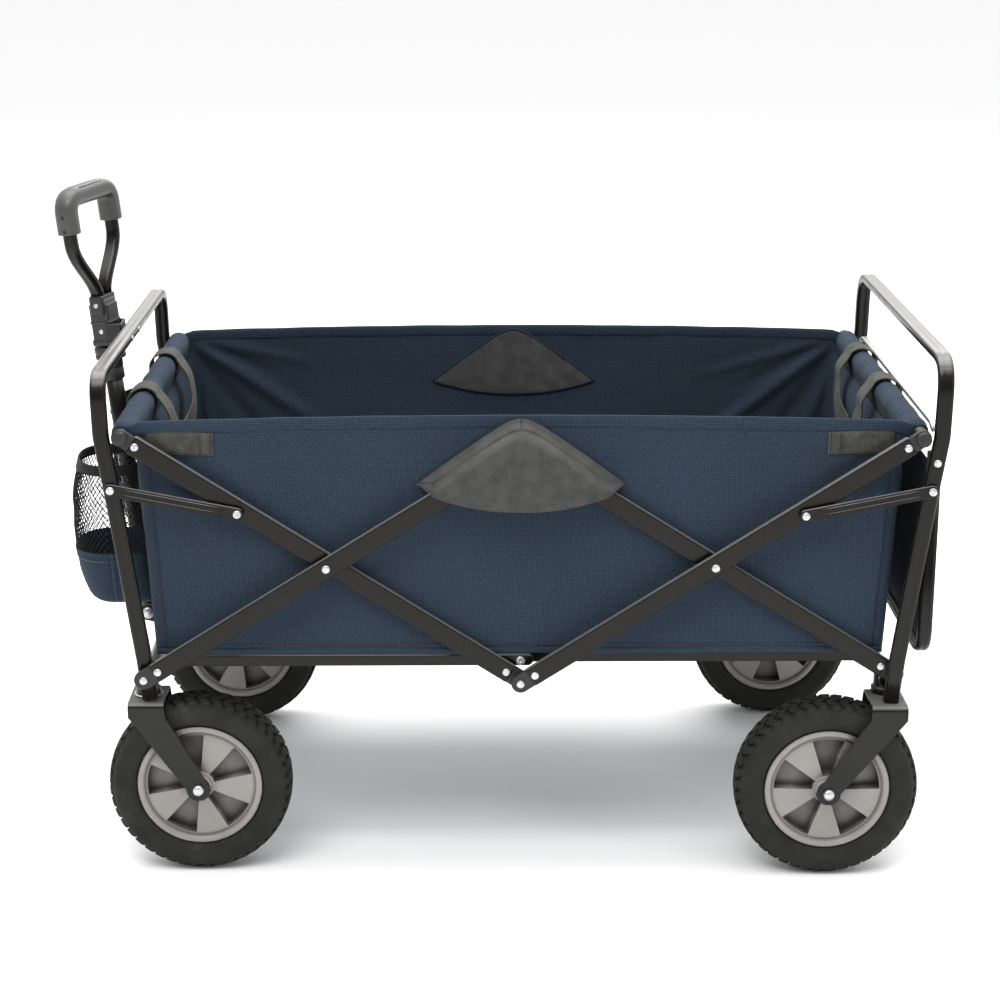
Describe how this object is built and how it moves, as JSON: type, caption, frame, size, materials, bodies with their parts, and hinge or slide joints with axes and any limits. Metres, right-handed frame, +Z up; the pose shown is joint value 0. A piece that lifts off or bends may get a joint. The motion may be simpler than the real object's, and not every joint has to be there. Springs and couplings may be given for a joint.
{
  "type": "folding utility wagon",
  "caption": "Folding beach wagon with a fabric tub in a steel scissor frame, treaded wheels, front casters, a telescopic pull handle and a drop-down rear tray.",
  "frame": {"origin": "on the ground, at the middle of the wagon's bounding box", "axes": "+X towards the rear, away from the pull handle; +Y towards the right side; +Z up"},
  "size_m": [0.9708, 0.557, 0.737],
  "materials": {
    "frame_steel": "satin powder coat, near black",
    "fork_steel": "satin powder coat, worn",
    "zinc": "bright zinc",
    "black_plastic": "fine moulded grain",
    "rim_plastic": "semi-gloss grey",
    "tyre_rubber": "matt, block tread",
    "canvas": "navy waffle weave polyester",
    "pocket_mesh": "black open mesh",
    "board_cloth": "navy woven cover over board"
  },
  "bodies": {
    "front_frame": {"front_hoop": "frame_steel", "front_cross_bar": "frame_steel", "caster_pin_left": "zinc", "caster_pin_right": "zinc", "handle_bracket": "frame_steel", "handle_pivot_bolt": "zinc", "handle_clip": "black_plastic"},
    "front_lower_arms": {"front_lower_arm_left": "frame_steel", "front_lower_arm_right": "frame_steel"},
    "front_upper_arms": {"front_upper_arm_left": "frame_steel", "front_upper_arm_right": "frame_steel"},
    "rear_upper_arms": {"rear_upper_arm_left": "frame_steel", "rear_upper_arm_right": "frame_steel"},
    "rear_lower_arms": {"rear_lower_arm_left": "frame_steel", "rear_lower_arm_right": "frame_steel"},
    "rear_frame": {"rear_hoop": "frame_steel", "rear_cross_bar": "frame_steel", "rear_left_fork": "fork_steel", "rear_right_fork": "fork_steel", "rear_left_axle_bolt": "zinc", "rear_right_axle_bolt": "zinc"},
    "front_top_tube": {"front_top_tube": "frame_steel", "front_tube_cap_left": "black_plastic", "front_tube_cap_right": "black_plastic", "tub": "canvas", "floor_board": "board_cloth", "cup_pocket_left": "pocket_mesh", "cup_pocket_right": "pocket_mesh"},
    "rear_top_tube": {"rear_top_tube": "frame_steel", "rear_tube_cap_left": "black_plastic", "rear_tube_cap_right": "black_plastic"},
    "front_links": {"front_link_left": "frame_steel", "front_link_right": "frame_steel"},
    "rear_links": {"rear_link_left": "frame_steel", "rear_link_right": "frame_steel"},
    "front_floor_rails": {"front_floor_rail_left": "frame_steel", "front_floor_rail_right": "frame_steel"},
    "rear_floor_rails": {"rear_floor_rail_left": "frame_steel", "rear_floor_rail_right": "frame_steel"},
    "handle": {"handle_outer_tube": "frame_steel", "handle_collar": "black_plastic"},
    "handle_extension": {"handle_inner_tube": "frame_steel", "handle_coupler": "black_plastic", "handle_loop": "frame_steel", "handle_grip": "black_plastic"},
    "tray": {"tray_frame": "frame_steel", "tray_panel": "canvas"},
    "front_left_caster": {"front_left_fork": "fork_steel", "front_left_axle_bolt": "zinc"},
    "front_left_wheel": {"front_left_tyre": "tyre_rubber", "front_left_rim": "rim_plastic"},
    "rear_left_wheel": {"rear_left_tyre": "tyre_rubber", "rear_left_rim": "rim_plastic"},
    "front_right_caster": {"front_right_fork": "fork_steel", "front_right_axle_bolt": "zinc"},
    "front_right_wheel": {"front_right_tyre": "tyre_rubber", "front_right_rim": "rim_plastic"},
    "rear_right_wheel": {"rear_right_tyre": "tyre_rubber", "rear_right_rim": "rim_plastic"}
  },
  "joints": [
    {"name": "fold", "type": "hinge", "parent": "front_frame", "child": "front_lower_arms", "pos_m": [-0.37816, 0, 0.2319], "axis": [0, -1, 0], "range_deg": [0, 37], "deforming": ["tub", "floor_board", "cup_pocket_left", "cup_pocket_right"]},
    {"name": "front_arm_crossing", "type": "hinge", "parent": "front_lower_arms", "child": "front_upper_arms", "pos_m": [-0.17783, 0, 0.35854], "axis": [0, -1, 0], "range_deg": [-74.01, 0]},
    {"name": "lower_middle_pivot", "type": "hinge", "parent": "front_upper_arms", "child": "rear_upper_arms", "pos_m": [0.03094, 0, 0.22656], "axis": [0, -1, 0], "range_deg": [0, 74.01]},
    {"name": "rear_arm_crossing", "type": "hinge", "parent": "rear_upper_arms", "child": "rear_lower_arms", "pos_m": [0.23971, 0, 0.35854], "axis": [0, -1, 0], "range_deg": [-74.01, 0]},
    {"name": "rear_frame_pivot", "type": "hinge", "parent": "rear_lower_arms", "child": "rear_frame", "pos_m": [0.44004, 0, 0.2319], "axis": [0, -1, 0], "range_deg": [0, 37.01]},
    {"name": "front_tube_pivot", "type": "hinge", "parent": "front_upper_arms", "child": "front_top_tube", "pos_m": [-0.39356, 0, 0.501], "axis": [0, -1, 0], "range_deg": [0, 37.01]},
    {"name": "rear_tube_pivot", "type": "hinge", "parent": "rear_upper_arms", "child": "rear_top_tube", "pos_m": [0.45544, 0, 0.501], "axis": [0, -1, 0], "range_deg": [-37.01, 0]},
    {"name": "front_link_pivot", "type": "hinge", "parent": "front_frame", "child": "front_links", "pos_m": [-0.40496, 0, 0.4449], "axis": [0, -1, 0], "range_deg": [0, 68.76]},
    {"name": "rear_link_pivot", "type": "hinge", "parent": "rear_frame", "child": "rear_links", "pos_m": [0.46684, 0, 0.4449], "axis": [0, -1, 0], "range_deg": [-68.76, 0]},
    {"name": "front_rail_pivot", "type": "hinge", "parent": "front_frame", "child": "front_floor_rails", "pos_m": [-0.35406, 0, 0.2465], "axis": [0, -1, 0], "range_deg": [0, 67.57]},
    {"name": "rear_rail_pivot", "type": "hinge", "parent": "rear_frame", "child": "rear_floor_rails", "pos_m": [0.41594, 0, 0.2465], "axis": [0, -1, 0], "range_deg": [-67.57, 0]},
    {"name": "front_left_swivel", "type": "hinge", "parent": "front_frame", "child": "front_left_caster", "pos_m": [-0.37856, -0.2235, 0.2], "axis": [0, 0, 1], "continuous": true},
    {"name": "front_left_wheel_spin", "type": "hinge", "parent": "front_left_caster", "child": "front_left_wheel", "pos_m": [-0.32396, -0.2235, 0.1016], "axis": [0, 1, 0], "continuous": true},
    {"name": "rear_left_wheel_spin", "type": "hinge", "parent": "rear_frame", "child": "rear_left_wheel", "pos_m": [0.36964, -0.242, 0.1016], "axis": [0, 1, 0], "continuous": true},
    {"name": "front_right_swivel", "type": "hinge", "parent": "front_frame", "child": "front_right_caster", "pos_m": [-0.37856, 0.2235, 0.2], "axis": [0, 0, 1], "continuous": true},
    {"name": "front_right_wheel_spin", "type": "hinge", "parent": "front_right_caster", "child": "front_right_wheel", "pos_m": [-0.32396, 0.2235, 0.1016], "axis": [0, 1, 0], "continuous": true},
    {"name": "rear_right_wheel_spin", "type": "hinge", "parent": "rear_frame", "child": "rear_right_wheel", "pos_m": [0.36964, 0.242, 0.1016], "axis": [0, 1, 0], "continuous": true},
    {"name": "handle_tilt", "type": "hinge", "parent": "front_frame", "child": "handle", "pos_m": [-0.40756, 0, 0.226], "axis": [0, -1, 0], "range_deg": [0, 95]},
    {"name": "handle_extend", "type": "slide", "parent": "handle", "child": "handle_extension", "axis": [-0.1034, 0, 0.9946], "range_m": [0, 0.22]},
    {"name": "tray_hinge", "type": "hinge", "parent": "rear_frame", "child": "tray", "pos_m": [0.47094, 0, 0.475], "axis": [0, -1, 0], "range_deg": [0, 90]}
  ],
  "couplings": [
    {"joint": "front_arm_crossing", "follows": "fold", "ratio": -2},
    {"joint": "lower_middle_pivot", "follows": "fold", "ratio": 2},
    {"joint": "rear_arm_crossing", "follows": "fold", "ratio": -2},
    {"joint": "rear_frame_pivot", "follows": "fold", "ratio": 1},
    {"joint": "front_tube_pivot", "follows": "fold", "ratio": 1},
    {"joint": "rear_tube_pivot", "follows": "fold", "ratio": -1},
    {"joint": "front_link_pivot", "follows": "fold", "ratio": 1.8582},
    {"joint": "rear_link_pivot", "follows": "fold", "ratio": -1.8582},
    {"joint": "front_rail_pivot", "follows": "fold", "ratio": 1.8259},
    {"joint": "rear_rail_pivot", "follows": "fold", "ratio": -1.8259}
  ]
}
